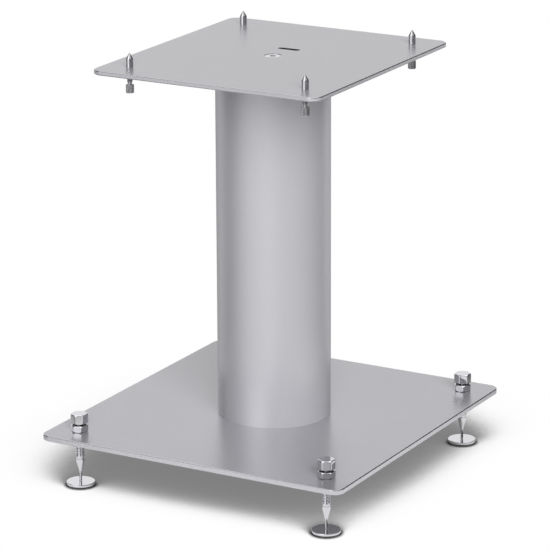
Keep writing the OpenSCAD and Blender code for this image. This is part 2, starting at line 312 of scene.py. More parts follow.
class Studio(bpy.types.PropertyGroup):
    """The camera and the light round the stand."""

    azimuth: FloatProperty(
        name="Azimuth", description="Turn of the camera round the stand, from straight in front",
        default=math.radians(29.282), subtype="ANGLE")
    elevation: FloatProperty(
        name="Elevation", description="Angle at which the camera looks down",
        default=math.radians(16.644), subtype="ANGLE")
    roll: FloatProperty(
        name="Roll", description="Turn of the camera about its own line of sight",
        default=math.radians(-0.245), subtype="ANGLE")
    distance: FloatProperty(
        name="Distance", description="Distance from the camera to the point that it looks at",
        default=2.8833, min=1, max=10, unit="LENGTH")
    aim_height: FloatProperty(
        name="Aim height", description="Height over the floor of the point that the camera looks at",
        default=177.8 * MM, unit="LENGTH")
    aim_right: FloatProperty(
        name="Aim to the right", description="Distance of that point to the right of the column's axis",
        default=1 * MM, unit="LENGTH")
    lens: FloatProperty(
        name="Lens", description="Focal length for the camera's 36 mm wide sensor, in millimetres",
        default=212.04, min=50, max=400, unit="CAMERA")
    paper: FloatVectorProperty(
        name="Paper", description="Colour of the floor and of the background",
        default=srgb("#FFFFFF"), min=0, max=1, size=3, subtype="COLOR")
    shadow: FloatVectorProperty(
        name="Shadow", description="Colour of the floor where the base plate shades it most",
        default=srgb("#808080"), min=0, max=1, size=3, subtype="COLOR")
    shadow_reach: FloatProperty(
        name="Shadow reach", description="Distance within which the stand shades the floor",
        default=0.2, min=0.05, max=0.5, unit="LENGTH")
    contact_reach: FloatProperty(
        name="Contact reach", description="Distance within which a disc darkens the paper beside it",
        default=4 * MM, min=1 * MM, max=20 * MM, unit="LENGTH")
    shadow_tilt: FloatProperty(
        name="Shadow tilt", description="How far from upright the floor's light comes in",
        default=math.radians(80), subtype="ANGLE")
    shadow_side: FloatProperty(
        name="Shadow side", description="Azimuth of the floor's light, to the right of the camera",
        default=math.radians(6), subtype="ANGLE")
    key_side: FloatProperty(
        name="Key side", description="Azimuth of the key light, to the right of the camera",
        default=math.radians(11), subtype="ANGLE")
    key_height: FloatProperty(
        name="Key height", description="Angle of the key light over the floor",
        default=math.radians(25), subtype="ANGLE")
    key_size: FloatProperty(
        name="Key size", description="Angle that the key light fills, which softens its shadows",
        default=math.radians(46), subtype="ANGLE")
    key_light: FloatProperty(
        name="Key light", description="How bright the key light makes white paper that faces it",
        default=1.38, min=0, max=3, subtype="FACTOR")
    room_light: FloatProperty(
        name="Room light", description="How bright the room's own light makes white paper",
        default=0.12, min=0, max=2, subtype="FACTOR")
    softbox: FloatProperty(
        name="Softbox", description="Brightness of the cloth at its whitest, where white paper is 1",
        default=2, min=0.5, max=10, subtype="FACTOR")


# The scene's property for each group of settings
SETTINGS = {"stand_plates": PlateSizes, "stand_feet": FootSizes, "stand_tips": TipSizes,
            "stand_finishes": Finishes, "stand_studio": Studio}


# Modelling helpers

def activate(piece):
    """Selects one object alone and makes it the active one."""
    bpy.ops.object.select_all(action="DESELECT")
    piece.select_set(True)
    bpy.context.view_layer.objects.active = piece


def named(name):
    """Names the object that was just added, and sets its place into its mesh."""
    piece = bpy.context.object
    piece.name = name
    piece.data.name = name
    activate(piece)
    bpy.ops.object.transform_apply(location=True, rotation=True, scale=True)
    return piece


@contextmanager
def edit_mode(piece, everything=False):
    """Opens a piece in edit mode, with all or nothing of it selected."""
    activate(piece)
    bpy.ops.object.mode_set(mode="EDIT")
    bpy.ops.mesh.select_mode(type="EDGE")
    bpy.ops.mesh.select_all(action="SELECT" if everything else "DESELECT")
    yield
    bpy.ops.object.mode_set(mode="OBJECT")


def select_edges(piece, wanted):
    """Selects the edges whose two ends pass a test, in edit mode."""
    mesh = bmesh.from_edit_mesh(piece.data)
    for edge in mesh.edges:
        edge.select_set(wanted(edge.verts[0].co, edge.verts[1].co))
    mesh.select_flush_mode()
    bmesh.update_edit_mesh(piece.data)


def near(a, b):
    """Whether two lengths are equal, apart from rounding."""
    return abs(a - b) < TOLERANCE


def upright(a, b):
    """Whether an edge from a to b stands upright."""
    return near(a.x, b.x) and near(a.y, b.y)


def at_height(height):
    """A test for edges that lie at one height."""
    return lambda a, b: near(a.z, height) and near(b.z, height)


def apply_modifier(piece, kind, **settings):
    """Adds a modifier with its settings and applies it."""
    modifier = piece.modifiers.new(kind.title(), kind)
    for key, value in settings.items():
        setattr(modifier, key, value)
    activate(piece)
    bpy.ops.object.modifier_apply(modifier=modifier.name)


def cut(piece, cutter):
    """Cuts a piece with another, which is used up."""
    apply_modifier(piece, "BOOLEAN", operation="DIFFERENCE", object=cutter, solver="EXACT")
    bpy.data.objects.remove(cutter)


def round_edges(piece, width, segments=3, angle=30):
    """Rounds every edge sharper than an angle in degrees, and keeps the faces beside it flat."""
    apply_modifier(piece, "BEVEL", width=width, segments=segments, limit_method="ANGLE",
                   angle_limit=math.radians(angle), harden_normals=True)


def smooth(piece):
    """Shades a piece smoothly, with its flat faces kept flat beside their rounded edges."""
    activate(piece)
    bpy.ops.object.shade_smooth_by_angle(angle=SMOOTH_ANGLE)
    apply_modifier(piece, "WEIGHTED_NORMAL", keep_sharp=True, weight=80)


def turned(name, outline, steps=96):
    """Turns a piece about the upright axis, from an outline.

    A ring is extruded and resized along the outline, and then both ends are closed."""
    (radius, height), *rest = outline
    bpy.ops.object.select_all(action="DESELECT")
    bpy.ops.mesh.primitive_circle_add(
        vertices=steps, radius=radius, fill_type="NOTHING", location=(0, 0, height))
    piece = named(name)
    with edit_mode(piece, everything=True):
        for new_radius, new_height in rest:
            bpy.ops.mesh.extrude_region_move(TRANSFORM_OT_translate={"value": (0, 0, new_height - height)})
            grow = new_radius / radius
            bpy.ops.transform.resize(value=(grow, grow, 1), center_override=(0, 0, new_height))
            radius, height = new_radius, new_height
        bpy.ops.mesh.select_all(action="SELECT")
        bpy.ops.mesh.fill_holes(sides=0)
        bpy.ops.mesh.select_all(action="SELECT")
        bpy.ops.mesh.normals_make_consistent(inside=False)
    return piece


def arc(centre, radius, start, end, count):
    """Points of an outline along an arc, from one angle in degrees to another."""
    angles = [math.radians(start + (end - start) * i / count) for i in range(count + 1)]
    return [(centre[0] + radius * math.cos(a), centre[1] + radius * math.sin(a)) for a in angles]


def add_rings(piece, low, high, spacing):
    """Divides the upright edges between two heights into rings that far apart."""
    with edit_mode(piece):
        select_edges(piece, lambda a, b: upright(a, b) and min(a.z, b.z) > low - TOLERANCE
                     and max(a.z, b.z) < high + TOLERANCE)
        bpy.ops.mesh.subdivide(number_cuts=int((high - low) / spacing))


def press_in(piece, low, high, depth):
    """Moves the surface between two heights towards the axis, by depth(angle, height).

    The attribute "groove" keeps how deep each point went, in millimetres."""
    mesh = piece.data
    groove = mesh.attributes.get("groove") or mesh.attributes.new("groove", "FLOAT", "POINT")
    for vertex, mark in zip(mesh.vertices, groove.data):
        x, y, z = vertex.co
        if low < z < high:
            radius = math.hypot(x, y)
            pressed = depth(math.atan2(y, x), z)
            vertex.co.x *= (radius - pressed) / radius
            vertex.co.y *= (radius - pressed) / radius
            mark.value = pressed / MM


def cut_thread(piece, low, high, pitch, rings_per_turn=8):
    """Cuts a right-hand thread between two heights, which fades out over its first and last turn."""
    def depth(angle, z):
        turn = (z / pitch - angle / math.tau) % 1
        slope = max(0.0, min(1.0, (abs(2 * turn - 1) - THREAD_FLAT) / (1 - 2 * THREAD_FLAT)))
        return THREAD_DEPTH * pitch * slope * min(1.0, (z - low) / pitch, (high - z) / pitch)
    add_rings(piece, low, high, pitch / rings_per_turn)
    press_in(piece, low, high, depth)


def rounded_hexagon(width, corner_round, on_flat=8, on_corner=6):
    """Points of a hexagon with rounded corners, from the end of one flat round to its start, as (x, y)."""
    flat = width / 2
    corner = (flat - corner_round) / math.cos(math.pi / 6)
    reach = (flat - corner_round) * math.tan(math.pi / 6)
    points = []
    for side in range(6):
        facing = Matrix.Rotation(side * math.pi / 3, 2)
        points += [facing @ Vector((flat, reach * (2 * i / on_flat - 1))) for i in range(on_flat + 1)]
        middle_of_corner = Matrix.Rotation((side + 0.5) * math.pi / 3, 2) @ Vector((corner, 0))
        for i in range(1, on_corner):
            swing = Matrix.Rotation((side + i / on_corner) * math.pi / 3, 2)
            points.append(middle_of_corner + swing @ Vector((corner_round, 0)))
    return points


def hexagon(name, width, low, high, corner_round, bevel, edge):
    """A hexagon bar with rounded corners, whose ends are turned to a bevel as on a nut.

    It starts as a turned bar, whose rings are then drawn out to the hexagon."""
    points = rounded_hexagon(width, corner_round)
    flat, corner = width / 2, max(point.length for point in points)
    # The bevel starts from a circle a little inside the flats
    start = flat - edge
    slope = bevel / (corner - start)
    piece = turned(name, [
        (start, low), (flat, low + bevel), (flat, high - bevel), (start, high)], steps=len(points))
    # Every ring's points come in the same order as the hexagon's
    for number, vertex in enumerate(piece.data.vertices):
        point = points[number % len(points)]
        if near(vertex.co.z, low) or near(vertex.co.z, high):
            vertex.co.xy = start * point.normalized()
        else:
            height = slope * (point.length - start)
            vertex.co = (point.x, point.y, low + height if vertex.co.z < (low + high) / 2 else high - height)
    with edit_mode(piece, everything=True):
        bpy.ops.mesh.normals_make_consistent(inside=False)
    return piece


def drill(piece, radius, low, high, x=0.0, y=0.0):
    """Drills an upright hole between two heights."""
    bpy.ops.object.select_all(action="DESELECT")
    bpy.ops.mesh.primitive_cylinder_add(
        vertices=64, radius=radius, depth=high - low, location=(x, y, (low + high) / 2))
    cut(piece, named("drill"))


def finish_piece(piece, node, body, slot, finish=None, underside=None):
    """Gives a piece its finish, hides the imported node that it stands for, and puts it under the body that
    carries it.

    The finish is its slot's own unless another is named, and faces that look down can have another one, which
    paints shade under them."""
    mesh = piece.data
    mesh.materials.clear()
    mesh.materials.append(finish_of(finish or slot))
    if underside:
        mesh.materials.append(finish_of(underside))
        for face in mesh.polygons:
            face.material_index = 1 if face.normal.z < LOOKS_DOWN else 0
    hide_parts(node)
    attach(piece, body)


def set_out(model, kind, body, slot, turns=None, **finishes):
    """Copies a piece modelled on the Z axis to the four corners, each copy with its own mesh.

    A corner's copy is turned by as many degrees as turns says."""
    for corner in CORNERS:
        node = f"{kind}_{corner}"
        place = middle(node)
        turn = Matrix.Rotation(math.radians((turns or {}).get(corner, 0)), 4, "Z")
        copy = model.copy()
        copy.data = model.data.copy()
        copy.data.transform(Matrix.Translation((place.x, place.y, 0)) @ turn)
        copy.name = f"{model.name}_{corner}"
        copy.data.name = copy.name
        bpy.context.scene.collection.objects.link(copy)
        finish_piece(copy, node, f"{body}_{corner}", slot, **finishes)
    bpy.data.objects.remove(model)


# Materials

def add_node(tree, kind, values=None, links=None, **settings):
    """Adds a node, with its own settings, the values of its sockets and the links into them."""
    made = tree.nodes.new(kind)
    for key, value in settings.items():
        setattr(made, key, value)
    for socket, value in (values or {}).items():
        made.inputs[socket].default_value = value
    for socket, output in (links or {}).items():
        tree.links.new(output, made.inputs[socket])
    return made


def wave_scale(size_mm):
    """The scale of a wave texture with waves of that width. At a scale of 1 it has 20 waves in tau metres."""
    return per_metre(size_mm) * math.tau / 20


def empty_tree(owner):
    """Gives a material or a world its own nodes, and clears them."""
    owner.use_nodes = True
    owner.node_tree.nodes.clear()
    return owner.node_tree


def new_material(name, **constants):
    """A material with one Principled shader, whose constant sockets are set here. Returns its parts."""
    material = bpy.data.materials.new(name)
    tree = empty_tree(material)
    shader = add_node(tree, "ShaderNodeBsdfPrincipled",
                      {socket.replace("_", " "): value for socket, value in constants.items()})
    add_node(tree, "ShaderNodeOutputMaterial", links={"Surface": shader.outputs["BSDF"]})
    place = add_node(tree, "ShaderNodeTexCoord").outputs["Object"]
    return material, tree, shader, place


def ramp(tree, factor, stops):
    """Adds a colour ramp with those (position, colour) stops and returns its colour."""
    made = add_node(tree, "ShaderNodeValToRGB", links={"Fac": factor})
    elements = made.color_ramp.elements
    while len(elements) < len(stops):
        elements.new(1)
    for element, (position, colour) in zip(elements, stops):
        element.position = position
        element.color = (*colour, 1)
    return made.outputs["Color"]


def shade_of(colour, factor):
    """A colour made darker or lighter by a factor."""
    return tuple(min(1, c * factor) for c in colour)


def greys(stops):
    """Makes (position, tone) stops into the (position, colour) stops of a ramp."""
    return [(position, (tone, tone, tone)) for position, tone in stops]


def silver_lacquer(name, finishes):
    """Satin silver lacquer, sprayed: aluminium flakes in a clear film.

    It mirrors what is near as soft upright streaks. Its flakes give a very fine sparkle, and the film has a
    faint orange peel."""
    material, tree, shader, place = new_material(name)
    # Flakes are about 0.03 mm; they are drawn 0.5 mm wide so that their sparkle shows at all
    flakes = add_node(tree, "ShaderNodeTexNoise", {"Scale": per_metre(0.5), "Detail": 2.0}, {"Vector": place})
    colour = ramp(tree, flakes.outputs["Fac"], [
        (0.35, shade_of(finishes.lacquer, 0.965)), (0.65, shade_of(finishes.lacquer, 1.035))])
    # Painted shade: the walls of the slots and the countersinks are drawn dark, in place of the shade inside
    # them
    recess_shade = add_node(tree, "ShaderNodeAttribute", attribute_name="recess_shade")
    painted_recess_shade = add_node(tree, "ShaderNodeMix", {"B": (*shade_of(finishes.lacquer, 0.12), 1)},
                    {"Factor": recess_shade.outputs["Fac"]}, data_type="RGBA")
    tree.links.new(colour, painted_recess_shade.inputs["A"])
    tree.links.new(painted_recess_shade.outputs["Result"], shader.inputs["Base Color"])
    # The film's gloss drifts slowly from place to place, over about a hand's width
    drift = add_node(tree, "ShaderNodeTexNoise", {"Scale": per_metre(70), "Detail": 2.0}, {"Vector": place})
    gloss = add_node(tree, "ShaderNodeMapRange", {"To Min": 0.26, "To Max": 0.32},
                     {"Value": drift.outputs["Fac"]})
    # Along the plates' edges the film is thin over polished metal, which draws a bright or a dark line
    arris = add_node(tree, "ShaderNodeAttribute", attribute_name="arris")
    polish = add_node(tree, "ShaderNodeMapRange", {"To Max": 0.12},
                      {"Value": arris.outputs["Fac"], "To Min": gloss.outputs["Result"]})
    tree.links.new(polish.outputs["Result"], shader.inputs["Roughness"])
    bare = add_node(tree, "ShaderNodeMapRange", {"To Min": 0.5, "To Max": 1.0},
                    {"Value": arris.outputs["Fac"]})
    tree.links.new(bare.outputs["Result"], shader.inputs["Metallic"])
    # Orange peel of a sprayed film has waves of 1 to 3 mm
    peel = add_node(tree, "ShaderNodeTexNoise", {"Scale": per_metre(1.8), "Detail": 1.0}, {"Vector": place})
    bump = add_node(tree, "ShaderNodeBump", {"Strength": 0.04, "Distance": 0.05 * MM},
                    {"Height": peel.outputs["Fac"]})
    tree.links.new(bump.outputs["Normal"], shader.inputs["Normal"])
    return material


def chrome_plate(name, finishes):
    """Chrome on polished steel: it mirrors the room, with polishing haze that comes and goes."""
    material, tree, shader, place = new_material(name, Base_Color=(*finishes.chrome, 1), Metallic=1.0)
    # Haze left by the polishing mop, in patches of a few millimetres
    haze = add_node(tree, "ShaderNodeTexNoise", {"Scale": per_metre(3), "Detail": 3.0}, {"Vector": place})
    gloss = add_node(tree, "ShaderNodeMapRange", {"To Min": 0.02, "To Max": 0.06},
                     {"Value": haze.outputs["Fac"]})
    tree.links.new(gloss.outputs["Result"], shader.inputs["Roughness"])
    # A plated face is never quite flat, so that its reflections waver
    wave = add_node(tree, "ShaderNodeTexNoise", {"Scale": per_metre(2.5), "Detail": 1.0}, {"Vector": place})
    bump = add_node(tree, "ShaderNodeBump", {"Strength": 0.12, "Distance": 0.05 * MM},
                    {"Height": wave.outputs["Fac"]})
    tree.links.new(bump.outputs["Normal"], shader.inputs["Normal"])
    return material


def turned_chrome(name, finishes):
    """Chrome on turned steel: the tool's rings draw each reflection out upright, into a long stripe."""
    material, tree, shader, place = new_material(
        name, Base_Color=(*finishes.chrome, 1), Metallic=1.0, Roughness=0.06)
    # The tool leaves a ring every 0.1 mm; they are drawn 0.8 mm apart so that they show at all
    rings = add_node(tree, "ShaderNodeTexWave", {"Scale": wave_scale(0.8)}, {"Vector": place},
                     wave_type="BANDS", bands_direction="Z")
    bump = add_node(tree, "ShaderNodeBump", {"Distance": 0.08 * MM}, {"Height": rings.outputs["Fac"]})
    tree.links.new(bump.outputs["Normal"], shader.inputs["Normal"])
    return material


def knurled_nickel(name, finishes):
    """Nickel-plated steel, rolled and knurled: duller than chrome, and darker the deeper its grooves go."""
    material, tree, shader, place = new_material(name, Metallic=1.0)
    # The colour darkens with the depth of the grooves
    groove = add_node(tree, "ShaderNodeAttribute", attribute_name="groove")
    colour = ramp(tree, groove.outputs["Fac"], [
        (0.05, finishes.nickel), (0.3, shade_of(finishes.nickel, 0.5))])
    tree.links.new(colour, shader.inputs["Base Color"])
    # Pickling leaves a grain of about 0.1 mm; it is drawn 0.8 mm wide so that it shows at all
    grain = add_node(tree, "ShaderNodeTexNoise", {"Scale": per_metre(0.8), "Detail": 3.0}, {"Vector": place})
    gloss = add_node(tree, "ShaderNodeMapRange", {"To Min": 0.2, "To Max": 0.36},
                     {"Value": grain.outputs["Fac"]})
    tree.links.new(gloss.outputs["Result"], shader.inputs["Roughness"])
    return material


def turned_steel(name, finishes):
    """Bare steel, faced on a lathe: fine rings about the column's axis."""
    material, tree, shader, place = new_material(
        name, Base_Color=(*finishes.steel, 1), Metallic=1.0, Roughness=0.38)
    # A facing cut leaves a ring every 0.4 mm; they are drawn 1.6 mm apart so that they show at all
    rings = add_node(tree, "ShaderNodeTexWave", {"Scale": wave_scale(1.6), "Distortion": 0.4},
                     {"Vector": place}, wave_type="RINGS", rings_direction="Z")
    bump = add_node(tree, "ShaderNodeBump", {"Strength": 0.5, "Distance": 0.02 * MM},
                    {"Height": rings.outputs["Fac"]})
    tree.links.new(bump.outputs["Normal"], shader.inputs["Normal"])
    return material


def black_oxide(name, finishes):
    """Blackened steel, as on a stock socket screw: dark, with a dull oily shine that varies. It also paints the
    shade under caps and nuts.
    """
    material, tree, shader, place = new_material(name, Base_Color=(*finishes.black_oxide, 1), Metallic=0.8)
    stain = add_node(tree, "ShaderNodeTexNoise", {"Scale": per_metre(1.5), "Detail": 4.0}, {"Vector": place})
    gloss = add_node(tree, "ShaderNodeMapRange", {"To Min": 0.28, "To Max": 0.5},
                     {"Value": stain.outputs["Fac"]})
    tree.links.new(gloss.outputs["Result"], shader.inputs["Roughness"])
    return material


def wool_felt(name, finishes):
    """Pressed wool felt, cut from sheet: dark and dull, with loose fibres that catch the light."""
    material, tree, shader, place = new_material(name, Roughness=1.0, Sheen_Weight=0.4, Sheen_Roughness=0.6)
    # Fibres lie in tufts of about half a millimetre
    tufts = add_node(tree, "ShaderNodeTexNoise", {"Scale": per_metre(0.5), "Detail": 5.0}, {"Vector": place})
    colour = ramp(tree, tufts.outputs["Fac"], [
        (0.3, shade_of(finishes.felt, 0.6)), (0.7, shade_of(finishes.felt, 1.6))])
    tree.links.new(colour, shader.inputs["Base Color"])
    bump = add_node(tree, "ShaderNodeBump", {"Strength": 0.8, "Distance": 0.1 * MM},
                    {"Height": tufts.outputs["Fac"]})
    tree.links.new(bump.outputs["Normal"], shader.inputs["Normal"])
    return material


# Each finish's material: its name, and the function that makes it
FINISHES = {
    "silver_enamel": ("satin silver lacquer", silver_lacquer),
    "chrome": ("polished chrome plate", chrome_plate),
    "turned_chrome": ("turned chrome plate", turned_chrome),
    "nickel": ("knurled nickel plate", knurled_nickel),
    "welded_steel": ("turned bare steel", turned_steel),
    "black_oxide_steel": ("black oxide steel and underside shade", black_oxide),
    "felt": ("pressed wool felt", wool_felt)}


def finish_of(finish):
    """The material of a finish, made when it is first asked for. Most finishes have their slot's name."""
    name, make = FINISHES[finish]
    return bpy.data.materials.get(name) or make(name, bpy.context.scene.stand_finishes)


# Pieces

def rounded_plate(name, node, sizes):
    """A plate with round corners and softly rounded edges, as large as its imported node."""
    low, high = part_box(node)
    bpy.ops.object.select_all(action="DESELECT")
    bpy.ops.mesh.primitive_cube_add(size=1, location=(low + high) / 2, scale=high - low)
    piece = named(name)
    with edit_mode(piece):
        select_edges(piece, upright)
        bpy.ops.mesh.bevel(offset=sizes.corner_radius, segments=14, affect="EDGES")
    with edit_mode(piece):
        select_edges(piece, lambda a, b: at_height(low.z)(a, b) or at_height(high.z)(a, b))
        bpy.ops.mesh.bevel(offset=sizes.edge_radius, segments=5, affect="EDGES")
    arris = piece.data.attributes.new("arris", "FLOAT", "POINT")
    for vertex, mark in zip(piece.data.vertices, arris.data):
        depth = min(vertex.co.z - low.z, high.z - vertex.co.z)
        mark.value = 0.0 if near(depth, 0) or depth > sizes.edge_radius - TOLERANCE else 1.0
    return piece


def slot_cutter(low, high, sizes):
    """A bar with round ends, which cuts a cable slot."""
    bpy.ops.object.select_all(action="DESELECT")
    bpy.ops.mesh.primitive_cube_add(
        size=1, location=(0, sizes.slot_back, (low + high) / 2),
        scale=(sizes.slot_length, sizes.slot_width, high - low + 2 * OVERRUN))
    cutter = named("slot_cutter")
    # A hair under half the width, so that the corners don't meet in one edge
    rounding = 0.499 * sizes.slot_width
    with edit_mode(cutter):
        select_edges(cutter, upright)
        bpy.ops.mesh.bevel(offset=rounding, segments=12, affect="EDGES")
    return cutter


def screw_ends(screw):
    """Radius of a countersunk screw's head, and the heights of its face and of its far end."""
    low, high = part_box(screw)
    upwards = middle(screw).z > middle("column_tube").z
    face, end = (high.z, low.z) if upwards else (low.z, high.z)
    return (high.x - low.x) / 2, face, end


def countersunk_outline(sizes, screw, gap=0.0):
    """Outline of a countersunk screw from its head's face to its end, widened by a gap for its hole."""
    head, face, end = screw_ends(screw)
    inwards = math.copysign(1, end - face)
    shaft = sizes.screw_thread / 2
    rim = face + inwards * sizes.head_rim
    return [(head + gap, face), (head + gap, rim), (shaft + gap, rim + inwards * (head - shaft)),
            (shaft + gap, end - inwards * sizes.screw_end), (shaft - sizes.screw_end + gap, end)]


def plate_with_holes(name, node, screw, sizes, hole_radius, hole_kind):
    """A rounded plate with a threaded hole at each corner, a cable slot and a countersunk hole."""
    low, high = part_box(node)
    head, face, end = screw_ends(screw)
    outwards = math.copysign(1, face - end)
    piece = rounded_plate(name, node, sizes)
    cut(piece, slot_cutter(low.z, high.z, sizes))
    outline = countersunk_outline(sizes, screw, sizes.hole_gap)
    outline[0] = (outline[0][0], face + outwards * OVERRUN)
    cut(piece, turned("countersink", outline))
    for corner in CORNERS:
        spot = middle(f"{hole_kind}_{corner}")
        drill(piece, hole_radius, low.z - OVERRUN, high.z + OVERRUN, spot.x, spot.y)

    def in_slot(point):
        return (abs(point.x) < sizes.slot_length / 2 + OVERRUN
                and abs(point.y - sizes.slot_back) < sizes.slot_width / 2 + OVERRUN)
    with edit_mode(piece):
        select_edges(piece, lambda a, b: (at_height(low.z)(a, b) or at_height(high.z)(a, b)) and in_slot(a))
        bpy.ops.mesh.bevel(offset=sizes.slot_edge, segments=3, affect="EDGES")
    # Painted shade: the walls of the slot and the countersink are marked here, and the lacquer draws them dark
    recess_shade = piece.data.attributes.new("recess_shade", "FLOAT", "POINT")
    for vertex, mark in zip(piece.data.vertices, recess_shade.data):
        point = vertex.co
        if in_slot(point) or math.hypot(point.x, point.y) < head + OVERRUN:
            mark.value = 1.0 if low.z + sizes.slot_edge / 2 < point.z < high.z - sizes.slot_edge / 2 else 0.0
    smooth(piece)
    return piece


class STAND_OT_plates(bpy.types.Operator):
    """Model the base plate and the top plate, with their holes and slots"""

    bl_idname = "stand.plates"
    bl_label = "Plates"

    def execute(self, context):
        sizes = context.scene.stand_plates
        rod_hole = context.scene.stand_feet.rod / 2 + sizes.hole_gap
        stud_hole = context.scene.stand_tips.thread / 2 + sizes.hole_gap
        for node, hole_radius, hole_kind in (
                ("base_plate", rod_hole, "floor_spike"), ("top_plate", stud_hole, "thumb_screw")):
            piece = plate_with_holes(f"satin_{node}", node, f"{node}_screw", sizes, hole_radius, hole_kind)
            finish_piece(piece, node, "root", "silver_enamel")
        return {"FINISHED"}


class STAND_OT_column(bpy.types.Operator):
    """Model the column tube between the plates"""

    bl_idname = "stand.column"
    bl_label = "Column"

    def execute(self, context):
        sizes = context.scene.stand_plates
        low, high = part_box("column_tube")
        bpy.ops.object.select_all(action="DESELECT")
        bpy.ops.mesh.primitive_cylinder_add(
            vertices=256, radius=(high.x - low.x) / 2, depth=high.z - low.z, end_fill_type="NOTHING",
            location=middle("column_tube"))
        piece = named("satin_column")
        apply_modifier(piece, "SOLIDIFY", thickness=sizes.tube_wall, offset=-1)
        with edit_mode(piece):
            select_edges(piece, lambda a, b: at_height(low.z)(a, b) or at_height(high.z)(a, b))
            bpy.ops.mesh.bevel(offset=sizes.tube_edge, segments=3, affect="EDGES")
        smooth(piece)
        finish_piece(piece, "column_tube", "root", "silver_enamel")
        return {"FINISHED"}


class STAND_OT_flanges(bpy.types.Operator):
    """Give the flanges inside the column their turned steel"""

    bl_idname = "stand.flanges"
    bl_label = "Flanges"

    def execute(self, context):
        for node in ("base_flange", "top_flange"):
            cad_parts[node].data.materials.clear()
            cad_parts[node].data.materials.append(finish_of("welded_steel"))
        return {"FINISHED"}


class STAND_OT_plate_screws(bpy.types.Operator):
    """Model the two countersunk socket screws that hold the plates to the column"""

    bl_idname = "stand.plate_screws"
    bl_label = "Plate screws"

    def execute(self, context):
        sizes = context.scene.stand_plates
        for node, slot in (("top_plate_screw", "chrome"), ("base_plate_screw", "black_oxide_steel")):
            outline = countersunk_outline(sizes, node)
            face = outline[0][1]
            piece = turned(f"countersunk_{node}", outline)
            bpy.ops.object.select_all(action="DESELECT")
            bpy.ops.mesh.primitive_cylinder_add(
                vertices=6, radius=sizes.socket_width / math.sqrt(3), depth=2 * sizes.socket_depth,
                location=(0, 0, face))
            cut(piece, named("socket"))
            round_edges(piece, sizes.socket_edge)
            low, high = sorted((outline[2][1], outline[3][1]))
            cut_thread(piece, low, high, sizes.screw_pitch)
            smooth(piece)
            finish_piece(piece, node, "root", slot)
        return {"FINISHED"}


class STAND_OT_floor_discs(bpy.types.Operator):
    """Model the four floor discs and the felt pads under them"""

    bl_idname = "stand.floor_discs"
    bl_label = "Floor discs"

    def execute(self, context):
        sizes = context.scene.stand_feet
        low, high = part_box("floor_disc_front_left")
        radius = (high.x - low.x) / 2
        edge, lip = sizes.disc_bevel, sizes.dimple_lip
        mouth = sizes.point / 2 + sizes.dimple + lip
        disc = turned("chrome_disc", [
            (radius - sizes.disc_foot, low.z), (radius, low.z + sizes.disc_foot),
            *arc((radius - edge, high.z - edge), edge, 0, 90, 6), (mouth + 2 * lip, high.z),
            (mouth, high.z - lip), (mouth - sizes.dimple + lip, high.z - sizes.dimple)], steps=128)
        smooth(disc)
        set_out(disc, "floor_disc", "disc", "chrome")
        low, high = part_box("disc_pad_front_left")
        radius, half = (high.x - low.x) / 2, (high.z - low.z) / 2
        pad = turned("felt_pad", arc((radius - half, low.z + half), half, -90, 90, 6))
        smooth(pad)
        set_out(pad, "disc_pad", "disc", "felt")
        return {"FINISHED"}


class STAND_OT_floor_spikes(bpy.types.Operator):
    """Model the four floor spikes: a needle, a cone, a shank and a threaded rod"""

    bl_idname = "stand.floor_spikes"
    bl_label = "Floor spikes"

    def execute(self, context):
        sizes = context.scene.stand_feet
        low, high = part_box("floor_spike_front_left")
        disc_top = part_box("floor_disc_front_left")[1].z
        plate_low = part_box("base_plate")[0].z
        shank, rod = sizes.shank / 2, sizes.rod / 2
        groove = shank - sizes.relief_depth
        relief_high = plate_low - sizes.thread_below
        relief_low = relief_high - sizes.relief
        thread_low, thread_high = relief_high + rod - groove, high.z - sizes.rod_bevel
        cone_top, blend = disc_top + sizes.cone_top, sizes.cone_round
        slope = (shank - sizes.needle / 2) / (sizes.cone_top - sizes.needle_top)
        spike = turned("chrome_spike", [
            (sizes.point / 2, low.z), (sizes.needle / 2, disc_top + sizes.point_top),
            (sizes.needle / 2, disc_top + sizes.needle_top),
            *((shank - inside * slope * blend, cone_top + above * blend) for inside, above in SHOULDER),
            (shank, relief_low - sizes.rod_bevel), (groove, relief_low), (groove, relief_high),
            (rod, thread_low), (rod, thread_high), (rod - sizes.rod_bevel, high.z)], steps=72)
        cut_thread(spike, thread_low, thread_high, sizes.pitch, rings_per_turn=10)
        smooth(spike)
        set_out(spike, "floor_spike", "spike", "chrome")
        return {"FINISHED"}


class STAND_OT_caps_and_nuts(bpy.types.Operator):
    """Model the four hexagonal spike caps and the lock nuts under them"""

    bl_idname = "stand.caps_and_nuts"
    bl_label = "Caps and nuts"

    def execute(self, context):
        sizes = context.scene.stand_feet
        hole = sizes.rod / 2 + context.scene.stand_plates.hole_gap
        low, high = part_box("spike_cap_front_left")
        width = high.x - low.x
        cap = hexagon("chrome_cap", width, low.z + sizes.cap_gap, high.z, sizes.hex_corner, sizes.hex_bevel,
                      sizes.cap_edge)
        round_edges(cap, sizes.cap_edge, segments=4, angle=20)
        drill(cap, hole, low.z - OVERRUN, low.z + sizes.cap_bore)
        smooth(cap)
        # Painted shade: the undersides of caps and nuts take the dark black oxide finish, in place of the shade
        # under them
        set_out(cap, "spike_cap", "spike", "chrome", underside="black_oxide_steel")
        low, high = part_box("lock_nut_front_left")
        nut = hexagon("chrome_nut", width, low.z, high.z, sizes.hex_corner / 2, sizes.hex_bevel,
                      sizes.nut_edge)
        round_edges(nut, sizes.nut_edge, segments=4, angle=20)
        drill(nut, hole, low.z - OVERRUN, high.z + OVERRUN)
        smooth(nut)
        # The nuts' undersides get the same painted shade
        set_out(nut, "lock_nut", "nut", "chrome", NUT_TURNS, underside="black_oxide_steel")
        return {"FINISHED"}


